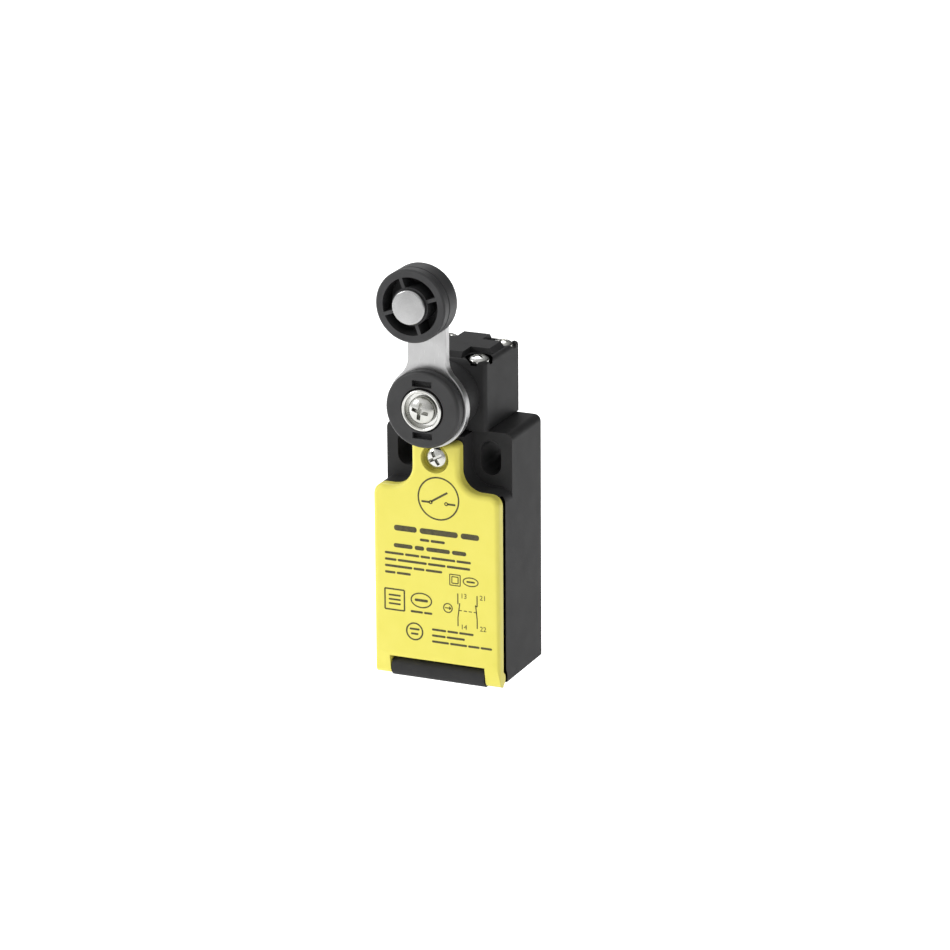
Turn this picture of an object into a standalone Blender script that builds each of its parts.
"""Limit switch with a roller lever, for a machine frame.

Metres, +Z up, X across the switch, Y from the cover (front, -Y) to the mounting face (back).
The origin is on the mounting face, halfway between the two mounting slots.
"""

import math

import bmesh
import bpy
from mathutils import Matrix, Vector

MM = 0.001
GAP = 0.3 * MM  # left between pieces that touch
SLIP = 0.6 * MM  # left round a piece that slides or swings inside another
TOUCH = 0.02 * MM  # keeps joined shapes from sharing a plane
MERGE = 0.01 * MM  # points nearer than this are one point
SHARP = math.radians(30)  # edges that turn more than this are sharp

# Housing, measured from the mounting face and from the middle of the slots
BODY_WIDTH = 30.0 * MM
BODY_DEPTH = 22.6 * MM
SLOT_HEIGHT = 50.3 * MM  # underside to slot middle
SEAT_HEIGHT = 6.0 * MM  # slot middle to the seat of the head
SHOULDER_DROP = 6.4 * MM  # slot middle to the shoulders
BODY_WALL = 2.2 * MM
BODY_EDGE = 1.2 * MM
ENTRY_FLOOR = 9.0 * MM  # length of the cable entry's thread
ENTRY_RADIUS = 9.2 * MM  # M20 x 1.5 at its crests
ENTRY_LEAD_IN = 0.8 * MM
SLOT_PITCH = 20.0 * MM
SLOT_WIDTH = 4.8 * MM
SLOT_LENGTH = 7.9 * MM
SHOULDER_RADIUS = 2.4 * MM

# Cover and its hinge
COVER_DEPTH = 3.0 * MM
COVER_SKIN = 1.7 * MM
COVER_RIM = 0.9 * MM
COVER_EDGE = 0.9 * MM
NECK_WIDTH = 11.3 * MM
NECK_FILLET = 5.0 * MM
NECK_TOP = 5.7 * MM  # above the slot middle
NECK_CORNER = 1.0 * MM
LEVER_SWEEP_GAP = 0.5 * MM  # between the neck's hollow top and the lever's hub
CHIN_HEIGHT = 5.1 * MM  # where the cover's front turns back towards the hinge
BARREL_RADIUS = 2.1 * MM
BARREL_LENGTH = 22.3 * MM
BARREL_RISE = 1.2 * MM  # axis above the underside
BARREL_REACH = 0.5 * MM  # axis in front of the parting plane
HINGE_PIN_RADIUS = 0.7 * MM
KNUCKLE_RADIUS = 1.75 * MM  # of the cover's hinge ears about the pin
KNUCKLE_END = 60  # degrees above the pin's level, where the knuckle meets the ear's back
MOUTH_HEIGHT = 4.2 * MM  # of the opening round the barrel
GASKET_WIDTH = 1.0 * MM
COVER_SCREW_RISE = 0.9 * MM  # above the slot middle
COVER_SCREW_HEAD = 2.4 * MM
COVER_SCREW_SHANK = 1.5 * MM
COUNTERBORE_RADIUS = 3.5 * MM
COUNTERBORE_DEPTH = 2.0 * MM
COVER_SCREW_LENGTH = 7.4 * MM

# Head
HEAD_SIZE = 18.8 * MM  # square, so that it can be turned in quarter turns
HEAD_HEIGHT = 15.0 * MM
HEAD_EDGE = 0.8 * MM
HEAD_GASKET = 0.5 * MM
PLATEAU_RISE = 1.2 * MM
PLATEAU_ARM = 6.2 * MM  # width of the cross on the head's top
PLATEAU_END = 1.9 * MM  # slope at the ends of its arms
HEAD_SCREW_INSET = 2.9 * MM  # axis of each screw in from the head's sides
HEAD_SCREW_SHANK = 1.15 * MM
HEAD_SCREW_HEAD = 2.35 * MM
HEAD_SCREW_BITE = 2.3 * MM
HEAD_POCKET_RADIUS = 3.0 * MM
HEAD_POCKET_DEPTH = 1.2 * MM
SHAFT_RISE = 13.8 * MM  # above the slot middle
BOSS_RADIUS = 7.7 * MM
BOSS_REACH = 4.3 * MM  # in front of the parting plane
HEAD_WALL = 3.4 * MM  # round the cam's chamber at its thinnest
HEAD_OVERHANG = 1.2 * MM  # in front of the ears

# Shaft, bush, seal and cam
SHAFT_RADIUS = 3.0 * MM
SHAFT_TAIL_RADIUS = 2.2 * MM
BUSH_WALL = 1.2 * MM
SEAL_LENGTH = 0.9 * MM
CAM_RADIUS = 5.2 * MM
CAM_FLAT = 3.4 * MM
CAM_WIDTH = 5.2 * MM
CAM_PIN_RADIUS = 0.6 * MM
CIRCLIP_RIM = 1.4 * MM  # beyond the shaft
CIRCLIP_THICKNESS = 0.6 * MM

# Lever and roller
LEVER_LENGTH = 24.7 * MM  # shaft axis to roller axis
LEVER_THICKNESS = 2.0 * MM
HUB_RADIUS = 9.3 * MM
ARM_WIDTH = 9.1 * MM
ARM_FILLET = 5.1 * MM
DISC_RADIUS = 8.7 * MM
DISC_THICKNESS = 2.5 * MM
DISC_EDGE = 0.7 * MM
KEY_LENGTH = 4.6 * MM
KEY_HEIGHT = 1.4 * MM
KEY_OFFSET = 5.85 * MM
KEY_DEPTH = 1.6 * MM
CUP_RADIUS = 4.7 * MM
CUP_WALL = 0.8 * MM
CUP_DEPTH = 2.2 * MM
CUP_PROUD = 0.6 * MM
LEVER_SCREW_HEAD = 3.1 * MM
LEVER_SCREW_SHANK = 1.7 * MM
LEVER_SCREW_LENGTH = 8.0 * MM
ROLLER_RADIUS = 8.15 * MM
ROLLER_WIDTH = 6.9 * MM
ROLLER_EDGE = 0.35 * MM
ROLLER_GROOVE = 2.5 * MM  # from the roller's front
GROOVE_DEPTH = 0.35 * MM
WINDOW_OUTER = 6.45 * MM
WINDOW_INNER = 4.2 * MM
WINDOW_DEPTH = 5.0 * MM
SPOKE_THICKNESS = 0.9 * MM
SPOKE_TURN = 20.0  # degrees
ROLLER_PIN_RADIUS = 1.9 * MM
ROLLER_PIN_HEAD = 3.86 * MM
PIN_HEAD_HEIGHT = 0.8 * MM
WASHER_THICKNESS = 0.9 * MM
WASHER_RADIUS = 3.6 * MM

# Plunger and contact block
FOLLOWER_RADIUS = 4.3 * MM
FOLLOWER_FLANGE = 1.0 * MM
STEM_RADIUS = 2.0 * MM
SPRING_POCKET_RADIUS = 4.9 * MM
SPRING_POCKET_DEPTH = 7.2 * MM
SPRING_WIRE = 0.35 * MM
SPRING_TURNS = 5
CONTACT_SPRING_WIRE = 0.2 * MM
CONTACT_SPRING_TURNS = 4
CLOSED_PITCH = 2.2  # of a spring's end turns, in wire radii
GUIDE_END = 5.2 * MM  # joint between follower and carrier, below the slot middle
SEAL_HEIGHT = 1.4 * MM
SEAL_WALL = 0.9 * MM
TRAVEL = 1.8 * MM
BLOCK_HEIGHT = 22.2 * MM
BLOCK_SIDE_WALL = 1.2 * MM
BLOCK_FRONT_SETBACK = 2.0 * MM
BAY_HEIGHT = 7.2 * MM
BAY_DEPTH = 6.4 * MM
CARRIER_WIDTH = 5.2 * MM
CARRIER_DEPTH = 5.0 * MM
BRIDGE_THICKNESS = 0.6 * MM
BRIDGE_WIDTH = 2.6 * MM
BRIDGE_SPAN = 14.4 * MM
WINDOW_HEIGHT = 4.4 * MM  # of the carrier's windows for the bridges
SHEET = 0.8 * MM  # of the terminals
RIVET_RADIUS = 1.1 * MM
CONTACT_OFFSET = 6.0 * MM
TERMINAL_SCREW_HEAD = 2.5 * MM
TERMINAL_SCREW_SHANK = 1.3 * MM
CLAMP_SIZE = 5.4 * MM
CLAMP_THICKNESS = 0.9 * MM
BLOCK_SCREW_HEAD = 2.1 * MM
BLOCK_SCREW_SHANK = 1.1 * MM
BLOCK_SCREW_OFFSET = 8.4 * MM
BLIND_WALL = 0.8 * MM  # left behind a blind hole

# Pan-head screws, as shares of the head's radius
SCREW_RISE = 0.62  # height of the head
SCREW_RIM = 0.35  # share of that height at which the dome begins
RECESS_REACH = 0.56
RECESS_WIDTH = 0.24
RECESS_DEPTH = 0.4

# Places that follow from the sizes
HALF_WIDTH = BODY_WIDTH / 2
HALF_NECK = NECK_WIDTH / 2
EAR_DEPTH = HEAD_SIZE - HEAD_OVERHANG
PARTING = -BODY_DEPTH
COVER_FRONT = PARTING - COVER_DEPTH
COVER_BACK = PARTING - GAP
UNDERSIDE = -SLOT_HEIGHT
SHOULDER = -SHOULDER_DROP
HINGE_Y = PARTING - BARREL_REACH
HINGE_Z = UNDERSIDE + BARREL_RISE
HINGE = Vector((0, HINGE_Y, HINGE_Z))
EAR_INNER = BARREL_LENGTH / 2 + GAP
CAVITY_HALF = HALF_WIDTH - BODY_WALL
CAVITY_TOP = SHOULDER - BODY_WALL
CAVITY_BOTTOM = UNDERSIDE + ENTRY_FLOOR
CAVITY_BACK = -BODY_WALL
AXIS_Y = -HEAD_SIZE / 2  # vertical axis of head, plunger and contacts
HEAD_SCREW_OFFSET = HEAD_SIZE / 2 - HEAD_SCREW_INSET
HEAD_BORE = HEAD_SIZE / 2 - HEAD_WALL
HEAD_BOTTOM = SEAT_HEIGHT + HEAD_GASKET + 2 * GAP
HEAD_TOP = HEAD_BOTTOM + HEAD_HEIGHT
HEAD_FRONT = -HEAD_SIZE
POCKET_FLOOR = HEAD_TOP - HEAD_POCKET_DEPTH
SHAFT_Z = SHAFT_RISE
SHAFT = Vector((0, 0, SHAFT_Z))
BOSS_FRONT = PARTING - BOSS_REACH
PLATE_BACK = BOSS_FRONT - GAP
PLATE_FRONT = PLATE_BACK - LEVER_THICKNESS
DISC_BACK = PLATE_FRONT - GAP
DISC_FRONT = DISC_BACK - DISC_THICKNESS
CUP_FRONT = DISC_FRONT - CUP_PROUD
CUP_BACK = CUP_FRONT + CUP_DEPTH
ROLLER_Z = SHAFT_Z + LEVER_LENGTH
ROLLER_BACK = PLATE_FRONT - WASHER_THICKNESS - 2 * GAP
ROLLER_FRONT = ROLLER_BACK - ROLLER_WIDTH
ROLLER_AXIS = Vector((0, 0, ROLLER_Z))
FOLLOWER_TOP = SHAFT_Z - CAM_RADIUS - GAP
SPRING_FLOOR = SEAT_HEIGHT - SPRING_POCKET_DEPTH
PLUNGER = Vector((0, AXIS_Y, 0))
SHAFT_BORE = SHAFT_RADIUS + GAP
CIRCLIP_RADIUS = SHAFT_RADIUS + CIRCLIP_RIM
BUSH_OUTER = SHAFT_BORE + BUSH_WALL
BOSS_BORE = BUSH_OUTER + GAP
CHAMBER_FRONT = AXIS_Y - HEAD_BORE
BLOCK_TOP = CAVITY_TOP - GAP
BLOCK_BOTTOM = BLOCK_TOP - BLOCK_HEIGHT
BLOCK_HALF = CAVITY_HALF - GAP
BLOCK_FRONT = PARTING + BLOCK_FRONT_SETBACK
BLOCK_BACK = CAVITY_BACK - GAP
BAY_OUTER = BLOCK_HALF - BLOCK_SIDE_WALL
BAY_INNER = CARRIER_WIDTH / 2 + SLIP + SHEET
UPPER_BAY_TOP = BLOCK_TOP - BLOCK_SIDE_WALL
UPPER_BAY = UPPER_BAY_TOP - BAY_HEIGHT / 2
LOWER_BAY_BOTTOM = BLOCK_BOTTOM + BLOCK_SIDE_WALL
LOWER_BAY = LOWER_BAY_BOTTOM + BAY_HEIGHT / 2
TAB_Y = BLOCK_FRONT + BAY_DEPTH - GAP - SHEET
BLADE_BACK = AXIS_Y + RIVET_RADIUS + SHEET
NC_BLADE = UPPER_BAY + SHEET  # underside of the upper blades
NC_CONTACT = NC_BLADE - SHEET
NC_BRIDGE = NC_CONTACT - GAP - BRIDGE_THICKNESS
NO_BLADE = LOWER_BAY - 2 * SHEET  # top of the lower blades
NO_CONTACT = NO_BLADE + SHEET / 2
NO_BRIDGE = NO_CONTACT + GAP + TRAVEL

BLACK = (0.035, 0.035, 0.037)
GREY = (0.08, 0.08, 0.085)
YELLOW = (0.87, 0.76, 0.10)
STEEL = (0.55, 0.55, 0.56)
ZINC = (0.66, 0.66, 0.63)
BRASS = (0.62, 0.44, 0.17)
RUBBER = (0.02, 0.02, 0.02)
CREAM = (0.72, 0.68, 0.58)
BRONZE = (0.45, 0.30, 0.14)


def clear_scene():
    for obj in list(bpy.data.objects):
        bpy.data.objects.remove(obj, do_unlink=True)


def collection(name):
    found = bpy.data.collections.new(name)
    bpy.context.scene.collection.children.link(found)
    return found


clear_scene()
PARTS = collection("limit_switch")
CUTTERS = collection("cutters")
CUTTERS.hide_render = True


def material(name, colour, roughness, metallic=0.0):
    made = bpy.data.materials.new(name)
    made.use_nodes = True
    shader = made.node_tree.nodes["Principled BSDF"]
    shader.inputs["Base Color"].default_value = (*colour, 1)
    shader.inputs["Roughness"].default_value = roughness
    shader.inputs["Metallic"].default_value = metallic
    return made


def empty(name, location, parent=None):
    marker = bpy.data.objects.new(name, None)
    marker.empty_display_size = 3 * MM
    marker.parent = parent
    marker.location = location - (parent.location if parent else Vector())
    PARTS.objects.link(marker)
    return marker


LEVER_AXIS = empty("lever_axis", SHAFT)
ROLLER_SPIN = empty("roller_axis", ROLLER_AXIS, LEVER_AXIS)
COVER_HINGE = empty("cover_hinge", HINGE)
PLUNGER_SLIDE = empty("plunger_slide", PLUNGER)


def helper(name, mesh):
    """A cutter, or a shape that is joined to a part: hidden, and not a part itself."""
    obj = bpy.data.objects.new(name, mesh)
    obj.hide_render = True
    obj.display_type = "WIRE"
    CUTTERS.objects.link(obj)
    return obj


def from_bmesh(bm, name):
    bmesh.ops.recalc_face_normals(bm, faces=bm.faces)
    mesh = bpy.data.meshes.new(name)
    bm.to_mesh(mesh)
    bm.free()
    return mesh


def box_mesh(name, low, high):
    bm = bmesh.new()
    bmesh.ops.create_cube(bm, size=1)
    low, high = Vector(low), Vector(high)
    size, middle = high - low, (high + low) / 2
    bmesh.ops.transform(bm, matrix=Matrix.Translation(middle) @ Matrix.Diagonal((*size, 1)), verts=bm.verts)
    return from_bmesh(bm, name)


AIM = {
    "X": Matrix.Rotation(math.radians(90), 4, "Y"),
    "Y": Matrix.Rotation(math.radians(-90), 4, "X"),
    "Z": Matrix.Identity(4),
}


def rod_mesh(name, axis, centre, radius, start, end, steps=24, end_radius=None):
    """A round rod along the axis, from start to end on it; centre gives its other two coordinates."""
    bm = bmesh.new()
    length = end - start
    second = radius if end_radius is None else end_radius
    bmesh.ops.create_cone(bm, cap_ends=True, segments=steps, radius1=radius, radius2=second, depth=length)
    place = Vector(centre)
    place["XYZ".index(axis)] = (start + end) / 2
    bmesh.ops.transform(bm, matrix=Matrix.Translation(place) @ AIM[axis], verts=bm.verts)
    return from_bmesh(bm, name)


def prism_mesh(name, outline, axis, start, end):
    """A flat outline given thickness: (x, z) pairs along Y, (y, z) pairs along X, (x, y) pairs along Z."""
    curve = bpy.data.curves.new(name, "CURVE")
    curve.dimensions = "2D"
    curve.fill_mode = "BOTH"
    curve.extrude = (end - start) / 2
    spline = curve.splines.new("POLY")
    spline.points.add(len(outline) - 1)
    for point, (across, up) in zip(spline.points, outline):
        point.co = (across, up, 0, 1)
    spline.use_cyclic_u = True
    draft = bpy.data.objects.new(name + "_outline", curve)
    bpy.context.scene.collection.objects.link(draft)
    graph = bpy.context.evaluated_depsgraph_get()
    mesh = bpy.data.meshes.new_from_object(draft.evaluated_get(graph))
    bpy.data.objects.remove(draft, do_unlink=True)
    bm = bmesh.new()
    bm.from_mesh(mesh)
    bmesh.ops.remove_doubles(bm, verts=bm.verts, dist=MERGE)
    middle = (start + end) / 2
    turn = {
        "X": Matrix(((0, 0, 1, middle), (1, 0, 0, 0), (0, 1, 0, 0), (0, 0, 0, 1))),
        "Y": Matrix(((1, 0, 0, 0), (0, 0, -1, middle), (0, 1, 0, 0), (0, 0, 0, 1))),
        "Z": Matrix.Translation((0, 0, middle)),
    }[axis]
    bmesh.ops.transform(bm, matrix=turn, verts=bm.verts)
    return from_bmesh(bm, name)


def arc(x, z, radius, start, end, steps=5):
    angles = [math.radians(start + (end - start) * i / steps) for i in range(steps + 1)]
    return [(x + radius * math.cos(a), z + radius * math.sin(a)) for a in angles]


def part(name, mesh, look, origin=Vector(), parent=None):
    """A part whose mesh was made in place; its origin goes to the given point."""
    mesh.transform(Matrix.Translation(-Vector(origin)))
    obj = bpy.data.objects.new(name, mesh)
    obj.parent = parent
    obj.location = Vector(origin) - (parent.matrix_world.translation if parent else Vector())
    mesh.shade_smooth()
    mesh.set_sharp_from_angle(angle=SHARP)
    mesh.materials.append(look)
    PARTS.objects.link(obj)
    return obj


def turned(name, profile, look, axis, origin, parent=None, steps=24, bored=False):
    """A turned part. The profile is (radius, height) pairs, down the outer side from the top; height
    runs along the axis from the origin. A bored part's profile closes on itself."""
    mesh = bpy.data.meshes.new(name)
    ends = [(i, i + 1) for i in range(len(profile) - 1)]
    if bored:
        ends.append((len(profile) - 1, 0))
    mesh.from_pydata([(radius, 0, height) for radius, height in profile], ends, [])
    mesh.materials.append(look)
    obj = bpy.data.objects.new(name, mesh)
    obj.parent = parent
    obj.location = Vector(origin) - (parent.matrix_world.translation if parent else Vector())
    obj.rotation_euler = {"Z": (0, 0, 0), "-Y": (math.radians(90), 0, 0)}[axis]
    PARTS.objects.link(obj)
    screw = obj.modifiers.new("Turn", "SCREW")
    screw.steps = screw.render_steps = steps
    screw.use_merge_vertices = True
    screw.merge_threshold = MERGE
    screw.use_smooth_shade = True
    return obj


def combine(obj, operation, meshes):
    for mesh in meshes:
        boolean = obj.modifiers.new(mesh.name, "BOOLEAN")
        boolean.operation = operation
        boolean.object = helper(f"{obj.name}_{mesh.name}", mesh)
    return obj


def cut(obj, *meshes):
    return combine(obj, "DIFFERENCE", meshes)


def join(obj, *meshes):
    return combine(obj, "UNION", meshes)


def soften(mesh, width, chosen, segments=2):
    """Rounds the sharp edges of a mesh whose middles pass the test."""
    bm = bmesh.new()
    bm.from_mesh(mesh)
    sharp = [edge for edge in bm.edges if edge.calc_face_angle(0) > SHARP
             and chosen((edge.verts[0].co + edge.verts[1].co) / 2)]
    bmesh.ops.bevel(bm, geom=sharp, offset=width, segments=segments, profile=0.5, affect="EDGES",
                    material=-1, clamp_overlap=True)
    bm.to_mesh(mesh)
    bm.free()
    return mesh


def cross_recess(centre, axis, outside, depth, reach, width):
    """Two crossed blades sunk from the outside face into a screw head along the axis."""
    blades = []
    for turn in (0, 1):
        size = [reach, reach, reach]
        index = "XYZ".index(axis)
        flat = [i for i in range(3) if i != index]
        size[flat[turn]] = width / 2
        low, high = [c - s for c, s in zip(centre, size)], [c + s for c, s in zip(centre, size)]
        low[index], high[index] = sorted((outside, outside + depth))
        blades.append(box_mesh(f"blade_{turn}", low, high))
    return blades


def pan_screw(name, place, axis, head, shank, length, look, parent=None):
    """Pan-head screw with a cross recess; its origin is under the head and the shank runs in."""
    rise = head * SCREW_RISE
    rim = rise * SCREW_RIM
    dome = [(0, rise)] + [(x, rim + z * (rise - rim) / head) for x, z in arc(0, 0, head, 67.5, 0, 3)]
    profile = dome + [(head, 0), (shank, 0), (shank, -length), (0, -length)]
    screw = turned(name, profile, look, axis, place, parent, steps=16)
    out = 1 if axis == "Z" else -1
    outside = place["XYZ".index(axis[-1])] + out * (rise + GAP)
    return cut(screw, *cross_recess(place, axis[-1], outside, -out * (head * RECESS_DEPTH + GAP),
                                    head * RECESS_REACH, head * RECESS_WIDTH))


def ring(name, axis, place, outer, inner, start, end, look, parent=None, steps=24):
    profile = [(outer, end), (outer, start), (inner, start), (inner, end)]
    return turned(name, profile, look, axis, place, parent, steps, bored=True)


def coil(name, radius, wire, bottom, top, turns, look, centre, parent=None, steps=14):
    """Compression spring with its end coils closed flat."""
    curve = bpy.data.curves.new(name, "CURVE")
    curve.dimensions = "3D"
    curve.bevel_depth = wire
    curve.bevel_resolution = 2
    curve.use_fill_caps = True
    spline = curve.splines.new("POLY")
    count = turns * steps
    spline.points.add(count)
    low, high = bottom + wire, top - wire
    for i, point in enumerate(spline.points):
        angle = 2 * math.pi * i / steps
        rise = min(max((i - steps) / (count - 2 * steps), 0), 1)
        closed = CLOSED_PITCH * wire * (min(i / steps, 1) + max((i - count + steps) / steps, 0))
        height = low + closed + (high - low - 2 * CLOSED_PITCH * wire) * rise
        point.co = (radius * math.cos(angle), radius * math.sin(angle), height - centre[2], 1)
    curve.materials.append(look)
    obj = bpy.data.objects.new(name, curve)
    obj.parent = parent
    obj.location = Vector(centre) - (parent.matrix_world.translation if parent else Vector())
    PARTS.objects.link(obj)
    return obj


bpy.context.view_layer.update()
BLACK_PLASTIC = material("black_plastic", BLACK, 0.5)
GREY_PLASTIC = material("dark_grey_plastic", GREY, 0.45)
YELLOW_PLASTIC = material("yellow_plastic", YELLOW, 0.4)
CREAM_PLASTIC = material("cream_plastic", CREAM, 0.5)
BLACK_RUBBER = material("black_rubber", RUBBER, 0.8)
BRIGHT_STEEL = material("bright_steel", STEEL, 0.35, 1.0)
ZINC_STEEL = material("zinc_plated_steel", ZINC, 0.3, 1.0)
BRASS_SHEET = material("brass", BRASS, 0.35, 1.0)
SINTERED_BRONZE = material("sintered_bronze", BRONZE, 0.55, 1.0)


def front_outline(half_width, half_neck, bottom, shoulder, top_points):
    """Outline of housing front and cover: shoulders, concave fillets and the neck between the slots."""
    right = [(half_width, bottom)]
    right += arc(half_width - SHOULDER_RADIUS, shoulder - SHOULDER_RADIUS, SHOULDER_RADIUS, 0, 90, 4)
    right += arc(half_neck + NECK_FILLET, shoulder + NECK_FILLET, NECK_FILLET, 270, 180, 6)
    left = [(-x, z) for x, z in reversed(right)]
    return right + top_points + left


def stadium(x, half_width, half_length, steps=8):
    straight = half_length - half_width
    return arc(x, straight, half_width, 0, 180, steps) + arc(x, -straight, half_width, 180, 360, steps)


def build_housing():
    neck_top = arc(HALF_NECK - NECK_CORNER, NECK_TOP - NECK_CORNER, NECK_CORNER, 0, 90, 3)
    neck_top += [(-x, z) for x, z in reversed(neck_top)]
    outline = front_outline(HALF_WIDTH, HALF_NECK, UNDERSIDE, SHOULDER, neck_top)
    back = box_mesh("back", (-HALF_WIDTH, -EAR_DEPTH, UNDERSIDE), (HALF_WIDTH, 0, SEAT_HEIGHT))
    back = soften(back, BODY_EDGE, lambda place: place.z > UNDERSIDE + TOUCH)
    housing = part("body_housing", back, BLACK_PLASTIC)
    middle = -EAR_DEPTH / 2
    entry_y = CAVITY_BACK - ENTRY_RADIUS - GAP
    join(
        housing,
        prism_mesh("front", outline, "Y", PARTING, middle),
        rod_mesh("barrel", "X", HINGE, BARREL_RADIUS, -BARREL_LENGTH / 2, BARREL_LENGTH / 2, 20),
    )
    slots = [
        prism_mesh(f"slot_{i}", stadium(x, SLOT_WIDTH / 2, SLOT_LENGTH / 2), "Y", PARTING - GAP, GAP)
        for i, x in enumerate((-SLOT_PITCH / 2, SLOT_PITCH / 2))
    ]
    lead_in = ENTRY_RADIUS + ENTRY_LEAD_IN
    scoop = KNUCKLE_RADIUS + SLIP
    axis = (0, AXIS_Y, 0)
    cut(
        housing,
        box_mesh("cavity", (-CAVITY_HALF, PARTING - GAP, CAVITY_BOTTOM),
                 (CAVITY_HALF, CAVITY_BACK, CAVITY_TOP)),
        rod_mesh("cable_entry", "Z", (0, entry_y, 0), ENTRY_RADIUS, UNDERSIDE - GAP, CAVITY_BOTTOM + GAP, 40),
        rod_mesh("lead_in", "Z", (0, entry_y, 0), lead_in, UNDERSIDE - GAP, UNDERSIDE + ENTRY_LEAD_IN, 40,
                 end_radius=ENTRY_RADIUS),
        *slots,
        rod_mesh("spring_pocket", "Z", axis, SPRING_POCKET_RADIUS, SPRING_FLOOR, SEAT_HEIGHT + GAP),
        rod_mesh("guide_bore", "Z", axis, STEM_RADIUS + GAP, CAVITY_TOP - GAP, SPRING_FLOOR + GAP),
        rod_mesh("seal_seat", "Z", axis, STEM_RADIUS + SEAL_WALL + 2 * GAP, CAVITY_TOP - GAP,
                 CAVITY_TOP + SEAL_HEIGHT + GAP),
        rod_mesh("cover_screw_bore", "Y", (0, 0, COVER_SCREW_RISE), COVER_SCREW_SHANK + SLIP + GAP,
                 PARTING - GAP, COVER_BACK + COVER_SCREW_LENGTH, 20),
        rod_mesh("hinge_pin_bore", "X", HINGE, HINGE_PIN_RADIUS + GAP, -HALF_WIDTH, HALF_WIDTH, 16),
    )
    for side in (-1, 1):
        ends = sorted((side * BARREL_LENGTH / 2, side * (HALF_WIDTH + GAP)))
        cut(housing, rod_mesh(f"ear_scoop_{side}", "X", HINGE, scoop, *ends, 24))
    for number, (x, y) in enumerate(head_screw_places(), 1):
        cut(housing, rod_mesh(f"screw_bore_{number}", "Z", (x, y, 0), HEAD_SCREW_SHANK + GAP,
                              SEAT_HEIGHT - HEAD_SCREW_BITE - GAP, SEAT_HEIGHT + GAP, 16))
    for number, (x, z) in enumerate(block_screw_places(), 1):
        cut(housing, rod_mesh(f"block_bore_{number}", "Y", (x, 0, z), BLOCK_SCREW_SHANK + GAP,
                              CAVITY_BACK - GAP, -BLIND_WALL, 16))


def head_screw_places():
    near, far = AXIS_Y - HEAD_SCREW_OFFSET, AXIS_Y + HEAD_SCREW_OFFSET
    side = HEAD_SCREW_OFFSET
    return [(-side, near), (side, near), (side, far), (-side, far)]


def block_screw_places():
    height = (UPPER_BAY + LOWER_BAY) / 2
    return [(-BLOCK_SCREW_OFFSET, height), (BLOCK_SCREW_OFFSET, height)]


def build_cover():
    sweep = HUB_RADIUS + LEVER_SWEEP_GAP
    half_angle = math.degrees(math.asin(HALF_NECK / sweep))
    hollow = arc(0, SHAFT_Z, sweep, 270 + half_angle, 270 - half_angle, 8)
    top = [(x, min(z, NECK_TOP)) for x, z in hollow]
    chin = UNDERSIDE + CHIN_HEIGHT
    outline = front_outline(HALF_WIDTH, HALF_NECK, chin, SHOULDER, top)
    skin = prism_mesh("skin", outline, "Y", COVER_FRONT, COVER_BACK)
    skin = soften(skin, COVER_EDGE, lambda place: place.y < COVER_FRONT + TOUCH and place.z > chin + TOUCH)
    cover = part("front_cover", skin, YELLOW_PLASTIC, HINGE, COVER_HINGE)
    overlap = chin + COVER_EDGE
    reach = math.hypot(COVER_FRONT - HINGE_Y, chin - HINGE_Z)
    facing = math.degrees(math.atan2(chin - HINGE_Z, COVER_FRONT - HINGE_Y))
    tangent = facing + math.degrees(math.acos(KNUCKLE_RADIUS / reach))
    inner_front = COVER_FRONT + COVER_EDGE
    knuckle = arc(HINGE_Y, HINGE_Z, KNUCKLE_RADIUS, tangent, 360 + KNUCKLE_END, 8)
    ear = [(inner_front, overlap), (inner_front, chin - TOUCH), (COVER_FRONT, chin - TOUCH), *knuckle,
           (COVER_BACK, HINGE_Z + BARREL_RADIUS + GAP), (COVER_BACK - TOUCH, overlap)]
    mouth_top = UNDERSIDE + MOUTH_HEIGHT
    slope_at_mouth = COVER_FRONT + (chin - mouth_top) * (knuckle[0][0] - COVER_FRONT) / (chin - knuckle[0][1])
    lip = [(inner_front, overlap), (inner_front, chin - TOUCH), (COVER_FRONT, chin - TOUCH),
           (slope_at_mouth, mouth_top), (COVER_BACK - TOUCH, mouth_top), (COVER_BACK - TOUCH, overlap)]
    join(cover, prism_mesh("lip", lip, "X", -EAR_INNER - GAP, EAR_INNER + GAP))
    for side in (-1, 1):
        ends = sorted((side * EAR_INNER, side * (HALF_WIDTH - TOUCH)))
        join(cover, prism_mesh(f"ear_{side}", ear, "X", *ends))
    recess_half = HALF_WIDTH - COVER_RIM
    screw_axis = (0, 0, COVER_SCREW_RISE)
    cut(
        cover,
        box_mesh("recess", (-recess_half, COVER_FRONT + COVER_SKIN, chin + COVER_SKIN),
                 (recess_half, PARTING, SHOULDER - COVER_RIM)),
        rod_mesh("counterbore", "Y", screw_axis, COUNTERBORE_RADIUS, COVER_FRONT - GAP,
                 COVER_FRONT + COUNTERBORE_DEPTH, 28),
        rod_mesh("screw_hole", "Y", screw_axis, COVER_SCREW_SHANK + GAP, COVER_FRONT, PARTING, 20),
        rod_mesh("pin_hole", "X", HINGE, HINGE_PIN_RADIUS + GAP, -HALF_WIDTH - GAP,
                 HALF_WIDTH - COVER_RIM, 16),
    )


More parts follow.
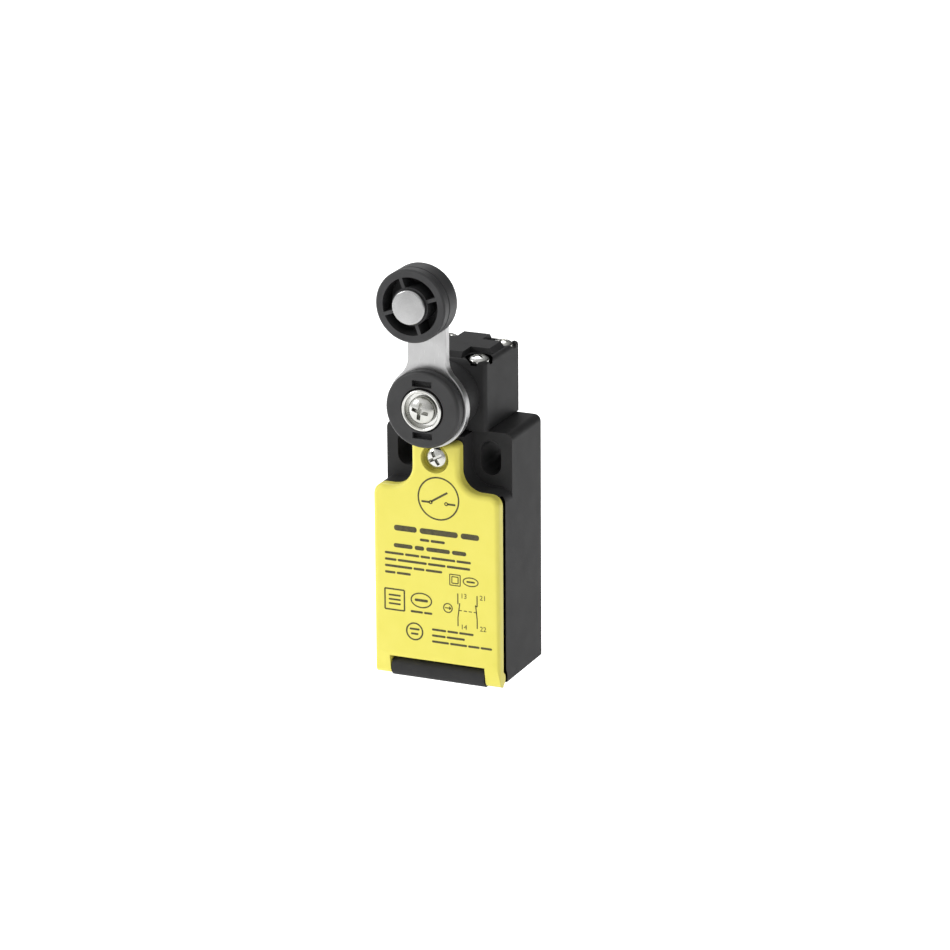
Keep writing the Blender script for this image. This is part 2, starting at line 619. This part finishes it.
def build_cover_fittings():
    outer = HALF_WIDTH - COVER_RIM - GAP
    inner = outer - GASKET_WIDTH
    low, high = UNDERSIDE + CHIN_HEIGHT + COVER_SKIN + GAP, SHOULDER - COVER_RIM - GAP
    front, back = COVER_FRONT + COVER_SKIN + GAP, COVER_BACK
    gasket = part("cover_gasket", box_mesh("frame", (-outer, front, low), (outer, back, high)), BLACK_RUBBER,
                  HINGE, COVER_HINGE)
    low, high = low + GASKET_WIDTH, high - GASKET_WIDTH
    cut(gasket, box_mesh("opening", (-inner, front - GAP, low), (inner, back + GAP, high)))
    seat = COVER_FRONT + COUNTERBORE_DEPTH - GAP
    pan_screw("cover_screw", Vector((0, seat, COVER_SCREW_RISE)), "-Y", COVER_SCREW_HEAD, COVER_SCREW_SHANK,
              COVER_SCREW_LENGTH, ZINC_STEEL, COVER_HINGE)
    pin = rod_mesh("pin", "X", HINGE, HINGE_PIN_RADIUS, -HALF_WIDTH + GAP, HALF_WIDTH - COVER_RIM - GAP, 12)
    part("hinge_pin", pin, BRIGHT_STEEL, HINGE)


def build_head():
    half = HEAD_SIZE / 2
    block = box_mesh("block", (-half, HEAD_FRONT, HEAD_BOTTOM), (half, 0, HEAD_TOP))
    block = soften(block, HEAD_EDGE, lambda place: place.z > HEAD_BOTTOM + TOUCH)
    head = part("head_housing", block, BLACK_PLASTIC)
    arm = PLATEAU_ARM / 2
    top = HEAD_TOP + PLATEAU_RISE
    low = POCKET_FLOOR
    wedge = [(half - HEAD_EDGE, HEAD_TOP), (half - PLATEAU_END, top), (-half + PLATEAU_END, top),
             (-half + HEAD_EDGE, HEAD_TOP), (-half + HEAD_EDGE, low), (half - HEAD_EDGE, low)]
    along = [(AXIS_Y + y, z) for y, z in wedge]
    join(
        head,
        prism_mesh("arm_across", wedge, "Y", AXIS_Y - arm, AXIS_Y + arm),
        prism_mesh("arm_along", along, "X", -arm, arm),
        rod_mesh("boss", "Y", SHAFT, BOSS_RADIUS, BOSS_FRONT, HEAD_FRONT + GAP / 2, 40),
    )
    axis = (0, AXIS_Y, 0)
    chamber_back = AXIS_Y + HEAD_BORE
    cut(
        head,
        rod_mesh("chamber", "Z", axis, HEAD_BORE, HEAD_BOTTOM - GAP, HEAD_TOP - BODY_WALL, 36),
        rod_mesh("boss_bore", "Y", SHAFT, BOSS_BORE, BOSS_FRONT - GAP, CHAMBER_FRONT + BODY_WALL, 32),
        rod_mesh("tail_bore", "Y", SHAFT, SHAFT_TAIL_RADIUS + GAP, chamber_back - BODY_WALL, -BLIND_WALL, 24),
    )
    for number, (x, y) in enumerate(head_screw_places(), 1):
        cut(
            head,
            rod_mesh(f"pocket_{number}", "Z", (x, y, 0), HEAD_POCKET_RADIUS, POCKET_FLOOR, top + GAP, 24),
            rod_mesh(f"screw_hole_{number}", "Z", (x, y, 0), HEAD_SCREW_SHANK + GAP, HEAD_BOTTOM - GAP,
                     HEAD_TOP, 16),
        )
        length = POCKET_FLOOR + GAP - SEAT_HEIGHT + HEAD_SCREW_BITE
        pan_screw(f"head_screw_{number}", Vector((x, y, POCKET_FLOOR + GAP)), "Z", HEAD_SCREW_HEAD,
                  HEAD_SCREW_SHANK, length, ZINC_STEEL)


def build_head_gasket():
    half = HEAD_SIZE / 2 - GAP
    low, high = SEAT_HEIGHT + GAP, HEAD_BOTTOM - GAP
    sheet = box_mesh("sheet", (-half, AXIS_Y - half, low), (half, AXIS_Y + half, high))
    gasket = part("head_gasket", sheet, BLACK_RUBBER)
    cut(gasket, rod_mesh("opening", "Z", (0, AXIS_Y, 0), HEAD_BORE, low - GAP, high + GAP, 28))
    for number, (x, y) in enumerate(head_screw_places(), 1):
        hole = HEAD_SCREW_SHANK + GAP
        cut(gasket, rod_mesh(f"hole_{number}", "Z", (x, y, 0), hole, low - GAP, high + GAP, 16))


def build_shaft():
    front = PLATE_FRONT + 2 * GAP
    step = CHAMBER_FRONT + CIRCLIP_THICKNESS + 4 * GAP
    tail = -BLIND_WALL - GAP
    tapped = LEVER_SCREW_SHANK + GAP
    tapped_end = CUP_BACK - CUP_WALL + LEVER_SCREW_LENGTH
    profile = [(0, -tapped_end), (tapped, -tapped_end), (tapped, -front), (SHAFT_RADIUS, -front),
               (SHAFT_RADIUS, -step), (SHAFT_TAIL_RADIUS, -step), (SHAFT_TAIL_RADIUS, -tail), (0, -tail)]
    shaft = turned("shaft", profile, BRIGHT_STEEL, "-Y", SHAFT, LEVER_AXIS)
    groove = ring_mesh("circlip_groove", SHAFT, SHAFT_RADIUS + GAP, SHAFT_RADIUS - 2 * GAP,
                       CHAMBER_FRONT + GAP / 2, CHAMBER_FRONT + CIRCLIP_THICKNESS + 2 * GAP)
    pin_bore = rod_mesh("pin_bore", "Z", (0, AXIS_Y, 0), CAM_PIN_RADIUS + GAP, SHAFT_Z - SHAFT_RADIUS,
                        SHAFT_Z + SHAFT_RADIUS, 12)
    cut(shaft, groove, pin_bore)
    bush_front = BOSS_FRONT + SEAL_LENGTH + 2 * GAP
    ring("shaft_bush", "-Y", SHAFT, BUSH_OUTER, SHAFT_BORE, -CHAMBER_FRONT, -bush_front, SINTERED_BRONZE)
    ring("shaft_seal", "-Y", SHAFT, BUSH_OUTER, SHAFT_BORE, -BOSS_FRONT - SEAL_LENGTH, -BOSS_FRONT,
         BLACK_RUBBER)
    clip = CHAMBER_FRONT + GAP
    ring("circlip", "-Y", SHAFT, CIRCLIP_RADIUS, SHAFT_RADIUS - GAP, -clip - CIRCLIP_THICKNESS, -clip,
         BRIGHT_STEEL, LEVER_AXIS)


def ring_mesh(name, centre, outer, inner, start, end, steps=24):
    """A cutter in the shape of a ring round the shaft's direction."""
    bm = bmesh.new()
    corners = [(outer, start), (outer, end), (inner, end), (inner, start)]
    verts = [bm.verts.new((centre[0] + radius, y, centre[2])) for radius, y in corners]
    edges = [bm.edges.new((verts[i], verts[(i + 1) % 4])) for i in range(4)]
    bmesh.ops.spin(bm, geom=verts + edges, cent=centre, axis=(0, 1, 0), angle=math.tau, steps=steps,
                   use_merge=True)
    bmesh.ops.remove_doubles(bm, verts=bm.verts, dist=MERGE)
    return from_bmesh(bm, name)


def build_cam():
    half = CAM_WIDTH / 2
    flat_angle = math.degrees(math.acos(CAM_FLAT / CAM_RADIUS))
    outline = arc(0, SHAFT_Z, CAM_RADIUS, 270 + flat_angle, 630 - flat_angle, 28)
    cam = part("cam", prism_mesh("outline", outline, "Y", AXIS_Y - half, AXIS_Y + half), BRIGHT_STEEL,
               SHAFT, LEVER_AXIS)
    bore = rod_mesh("bore", "Y", SHAFT, SHAFT_TAIL_RADIUS + GAP, AXIS_Y - CAM_WIDTH, AXIS_Y + CAM_WIDTH, 24)
    top = SHAFT_Z + CAM_RADIUS
    pin_hole = rod_mesh("pin_hole", "Z", (0, AXIS_Y, 0), CAM_PIN_RADIUS + GAP, SHAFT_Z - CAM_RADIUS, top, 12)
    cut(cam, bore, pin_hole)
    pin = rod_mesh("pin", "Z", (0, AXIS_Y, 0), CAM_PIN_RADIUS, SHAFT_Z - CAM_FLAT + GAP, top - 2 * GAP, 12)
    part("cam_pin", pin, BRIGHT_STEEL, SHAFT, LEVER_AXIS)


def lever_outline():
    """Hub circle, concave fillets into a straight arm, and a round end at the roller."""
    half = ARM_WIDTH / 2
    across, reach = half + ARM_FILLET, HUB_RADIUS + ARM_FILLET
    rise = math.sqrt(reach**2 - across**2)
    lean = math.degrees(math.atan2(rise, across))
    right = arc(0, SHAFT_Z, HUB_RADIUS, -90, lean, 14)
    right += arc(across, SHAFT_Z + rise, ARM_FILLET, 180 + lean, 180, 5)
    end = arc(0, ROLLER_Z, half, 0, 90, 7)
    right += end
    left = [(-x, z) for x, z in reversed(right[1:-1])]
    return right + left


def build_lever():
    plate = prism_mesh("plate", lever_outline(), "Y", PLATE_FRONT, PLATE_BACK)
    plate = soften(plate, GAP, lambda place: place.y < PLATE_FRONT + TOUCH, 1)
    lever = part("lever_plate", plate, BRIGHT_STEEL, SHAFT, LEVER_AXIS)
    before, behind = PLATE_FRONT - GAP, PLATE_BACK + GAP
    cut(
        lever,
        rod_mesh("hub_hole", "Y", SHAFT, SHAFT_RADIUS + GAP, before, behind, 24),
        rod_mesh("pin_hole", "Y", ROLLER_AXIS, ROLLER_PIN_RADIUS + GAP, before, behind, 20),
    )
    back, front = -DISC_BACK, -DISC_FRONT
    seat, hole = -CUP_BACK - GAP, LEVER_SCREW_SHANK + GAP
    socket = CUP_RADIUS + GAP
    rim = DISC_RADIUS - DISC_EDGE
    profile = [(rim, front), (DISC_RADIUS - DISC_EDGE * 0.3, front - DISC_EDGE * 0.3),
               (DISC_RADIUS, front - DISC_EDGE), (DISC_RADIUS, back), (hole, back), (hole, seat),
               (socket, seat), (socket, front)]
    disc = turned("clamp_disc", profile, BLACK_PLASTIC, "-Y", SHAFT, LEVER_AXIS, 44, bored=True)
    key, tall = KEY_LENGTH / 2, KEY_HEIGHT / 2
    for side, name in ((1, "upper_key"), (-1, "lower_key")):
        low = SHAFT_Z + side * KEY_OFFSET - tall
        high = low + KEY_HEIGHT
        cut(disc, box_mesh(name, (-key, DISC_FRONT - GAP, low), (key, DISC_FRONT + KEY_DEPTH, high)))
    floor, cup_front, cup_back = -CUP_BACK + CUP_WALL, -CUP_FRONT, -CUP_BACK
    inner = CUP_RADIUS - CUP_WALL
    profile = [(CUP_RADIUS, cup_front), (CUP_RADIUS, cup_back), (hole, cup_back), (hole, floor),
               (inner, floor), (inner, cup_front)]
    turned("clamp_cup", profile, ZINC_STEEL, "-Y", SHAFT, LEVER_AXIS, 32, bored=True)
    seat = Vector((0, CUP_BACK - CUP_WALL - GAP, SHAFT_Z))
    pan_screw("lever_screw", seat, "-Y", LEVER_SCREW_HEAD, LEVER_SCREW_SHANK, LEVER_SCREW_LENGTH, ZINC_STEEL,
              LEVER_AXIS)


def build_roller():
    bore = ROLLER_PIN_RADIUS + GAP
    back, front, edge = -ROLLER_BACK, -ROLLER_FRONT, ROLLER_EDGE
    groove = front - ROLLER_GROOVE
    profile = [(ROLLER_RADIUS - edge, front), (ROLLER_RADIUS, front - edge),
               (ROLLER_RADIUS, groove + GROOVE_DEPTH), (ROLLER_RADIUS - GROOVE_DEPTH, groove),
               (ROLLER_RADIUS, groove - GROOVE_DEPTH), (ROLLER_RADIUS, back + edge),
               (ROLLER_RADIUS - edge, back), (bore, back), (bore, front)]
    roller = turned("roller", profile, GREY_PLASTIC, "-Y", ROLLER_AXIS, ROLLER_SPIN, 48, bored=True)
    middle = (WINDOW_OUTER + WINDOW_INNER) / 2
    half_gap = math.degrees(SPOKE_THICKNESS / 2 / middle)
    for quarter in range(4):
        start = SPOKE_TURN + 90 * quarter + half_gap
        end = start + 90 - 2 * half_gap
        window = arc(0, ROLLER_Z, WINDOW_OUTER, start, end, 8) + arc(0, ROLLER_Z, WINDOW_INNER, end, start, 6)
        floor = ROLLER_FRONT + WINDOW_DEPTH
        cut(roller, prism_mesh(f"window_{quarter}", window, "Y", ROLLER_FRONT - GAP, floor))
    head_back = ROLLER_FRONT - GAP
    head_front, rivet_back = head_back - PIN_HEAD_HEIGHT, PLATE_BACK + GAP + PIN_HEAD_HEIGHT
    rivet = ROLLER_PIN_RADIUS + SLIP
    edge = PIN_HEAD_HEIGHT / 3
    profile = [(0, -head_front), (ROLLER_PIN_HEAD - edge, -head_front), (ROLLER_PIN_HEAD, -head_front - edge),
               (ROLLER_PIN_HEAD, -head_back), (ROLLER_PIN_RADIUS, -head_back),
               (ROLLER_PIN_RADIUS, -PLATE_BACK - GAP), (rivet, -PLATE_BACK - GAP), (rivet, -rivet_back),
               (0, -rivet_back)]
    turned("roller_pin", profile, BRIGHT_STEEL, "-Y", ROLLER_AXIS, LEVER_AXIS, 28)
    washer_back = -PLATE_FRONT + GAP
    ring("roller_washer", "-Y", ROLLER_AXIS, WASHER_RADIUS, bore, washer_back, washer_back + WASHER_THICKNESS,
         ZINC_STEEL, LEVER_AXIS)


def build_plunger():
    stem_end = -GUIDE_END
    flange = FOLLOWER_TOP - FOLLOWER_FLANGE
    profile = [(0, FOLLOWER_TOP), (FOLLOWER_RADIUS, FOLLOWER_TOP), (FOLLOWER_RADIUS, flange),
               (STEM_RADIUS, flange), (STEM_RADIUS, stem_end), (0, stem_end)]
    turned("cam_follower", profile, CREAM_PLASTIC, "Z", PLUNGER, PLUNGER_SLIDE)
    mean = (STEM_RADIUS + SPRING_POCKET_RADIUS) / 2
    coil("return_spring", mean, SPRING_WIRE, SPRING_FLOOR + GAP, flange - GAP, SPRING_TURNS, BRIGHT_STEEL,
         PLUNGER)
    inner, seat = STEM_RADIUS + GAP, CAVITY_TOP + GAP
    ring("plunger_seal", "Z", PLUNGER, inner + SEAL_WALL, inner, CAVITY_TOP, CAVITY_TOP + SEAL_HEIGHT,
         BLACK_RUBBER)
    half, deep = CARRIER_WIDTH / 2, CARRIER_DEPTH / 2
    bottom, top = LOWER_BAY_BOTTOM + TRAVEL + 2 * GAP, UPPER_BAY_TOP - GAP
    column = box_mesh("column", (-half, AXIS_Y - deep, bottom), (half, AXIS_Y + deep, top))
    carrier = part("contact_carrier", column, CREAM_PLASTIC, PLUNGER, PLUNGER_SLIDE)
    join(carrier, rod_mesh("rod", "Z", PLUNGER, STEM_RADIUS, top - SHEET, stem_end - GAP, 24))
    span, wide = BRIDGE_SPAN / 2, BRIDGE_WIDTH / 2
    reach = CARRIER_WIDTH
    windows = {"nc": (NC_BRIDGE + BRIDGE_THICKNESS + GAP - WINDOW_HEIGHT, NC_BRIDGE),
               "no": (NO_BRIDGE - GAP, NO_BRIDGE)}
    for name, (low, bridge) in windows.items():
        high = low + WINDOW_HEIGHT
        front, back = AXIS_Y - wide - GAP, AXIS_Y + wide + GAP
        cut(carrier, box_mesh(f"window_{name}", (-reach, front, low), (reach, back, high)))
        top = bridge + BRIDGE_THICKNESS
        strip = box_mesh("strip", (-span, AXIS_Y - wide, bridge), (span, AXIS_Y + wide, top))
        part(f"contact_bridge_{name}", strip, BRASS_SHEET, PLUNGER, PLUNGER_SLIDE)
        ends = (low + GAP, bridge - GAP) if name == "nc" else (top + GAP, high - GAP)
        coil(f"contact_spring_{name}", wide - 2 * CONTACT_SPRING_WIRE, CONTACT_SPRING_WIRE, *ends,
             CONTACT_SPRING_TURNS, BRIGHT_STEEL, PLUNGER, PLUNGER_SLIDE, 10)


def build_contact_block():
    corners = (-BLOCK_HALF, BLOCK_FRONT, BLOCK_BOTTOM), (BLOCK_HALF, BLOCK_BACK, BLOCK_TOP)
    block = part("contact_block", box_mesh("block", *corners), BLACK_PLASTIC)
    channel, wall = CARRIER_WIDTH / 2 + SLIP, BLOCK_SIDE_WALL
    bay_back = BLOCK_FRONT + BAY_DEPTH
    front = BLOCK_FRONT - GAP
    rear = AXIS_Y + CARRIER_DEPTH / 2 + SLIP
    cut(
        block,
        box_mesh("chamber", (-BAY_OUTER, bay_back - SHEET, LOWER_BAY_BOTTOM),
                 (BAY_OUTER, rear, UPPER_BAY_TOP)),
        box_mesh("channel", (-channel, front, LOWER_BAY_BOTTOM), (channel, rear, UPPER_BAY_TOP)),
        rod_mesh("rod_hole", "Z", PLUNGER, STEM_RADIUS + GAP, UPPER_BAY_TOP - wall, BLOCK_TOP + GAP, 24),
    )
    for level, row in ((UPPER_BAY, "upper"), (LOWER_BAY, "lower")):
        low, high = level - BAY_HEIGHT / 2, level + BAY_HEIGHT / 2
        for side in (-1, 1):
            ends = sorted((side * BAY_INNER, side * BAY_OUTER))
            cut(block, box_mesh(f"bay_{row}_{side}", (ends[0], front, low), (ends[1], bay_back, high)))
    for number, (x, z) in enumerate(block_screw_places(), 1):
        shank = BLOCK_SCREW_SHANK
        cut(block, rod_mesh(f"screw_hole_{number}", "Y", (x, 0, z), shank + GAP, front, BLOCK_BACK + GAP, 16))
        seat = Vector((x, BLOCK_FRONT - GAP, z))
        length = -BLIND_WALL - GAP - seat.y
        pan_screw(f"block_screw_{number}", seat, "-Y", BLOCK_SCREW_HEAD, shank, length, ZINC_STEEL)


def build_terminal(number, side, upper):
    """Bent strip with a contact rivet, its clamp plate and its screw."""
    level = UPPER_BAY if upper else LOWER_BAY
    inner, outer = BAY_INNER + GAP, BAY_OUTER - GAP
    low, high = level - BAY_HEIGHT / 2 + GAP, level + BAY_HEIGHT / 2 - GAP
    tab_x = sorted((side * inner, side * outer))
    tab = box_mesh("tab", (tab_x[0], TAB_Y, low), (tab_x[1], TAB_Y + SHEET, high))
    terminal = part(f"terminal_{number}", tab, BRASS_SHEET)
    blade = (NC_BLADE, NC_BLADE + SHEET) if upper else (NO_BLADE - SHEET, NO_BLADE)
    rivet = (NC_CONTACT, NC_BLADE + SHEET / 2) if upper else (NO_BLADE - SHEET / 2, NO_CONTACT)
    contact = (side * CONTACT_OFFSET, AXIS_Y, 0)
    join(
        terminal,
        box_mesh("blade", (tab_x[0], TAB_Y + SHEET / 2, blade[0]), (tab_x[1], BLADE_BACK, blade[1])),
        rod_mesh("rivet", "Z", contact, RIVET_RADIUS, *rivet, 14),
    )
    middle = (inner + outer) / 2 * side
    screw_z = low + TERMINAL_SCREW_HEAD if upper else high - TERMINAL_SCREW_HEAD
    shank = TERMINAL_SCREW_SHANK
    place = (middle, 0, screw_z)
    cut(terminal, rod_mesh("screw_hole", "Y", place, shank + GAP, TAB_Y - SHEET, BLADE_BACK, 16))
    half = CLAMP_SIZE / 2
    back = TAB_Y - GAP
    front = back - CLAMP_THICKNESS
    clamp_low = min(max(screw_z - half, low), high - CLAMP_SIZE)
    clamp_high = clamp_low + CLAMP_SIZE
    plate = box_mesh("plate", (middle - half, front, clamp_low), (middle + half, back, clamp_high))
    clamp = part(f"clamp_plate_{number}", plate, ZINC_STEEL)
    cut(clamp, rod_mesh("hole", "Y", place, shank + GAP, front - GAP, back + GAP, 16))
    seat = Vector((middle, front - GAP, screw_z))
    length = CLAMP_THICKNESS + SHEET + 4 * GAP
    pan_screw(f"terminal_screw_{number}", seat, "-Y", TERMINAL_SCREW_HEAD, shank, length, ZINC_STEEL)


build_housing()
build_cover()
build_cover_fittings()
build_head()
build_head_gasket()
build_shaft()
build_cam()
build_lever()
build_roller()
build_plunger()
build_contact_block()
for upper_number, lower_number, terminal_side in ((21, 13, -1), (22, 14, 1)):
    build_terminal(upper_number, terminal_side, True)
    build_terminal(lower_number, terminal_side, False)
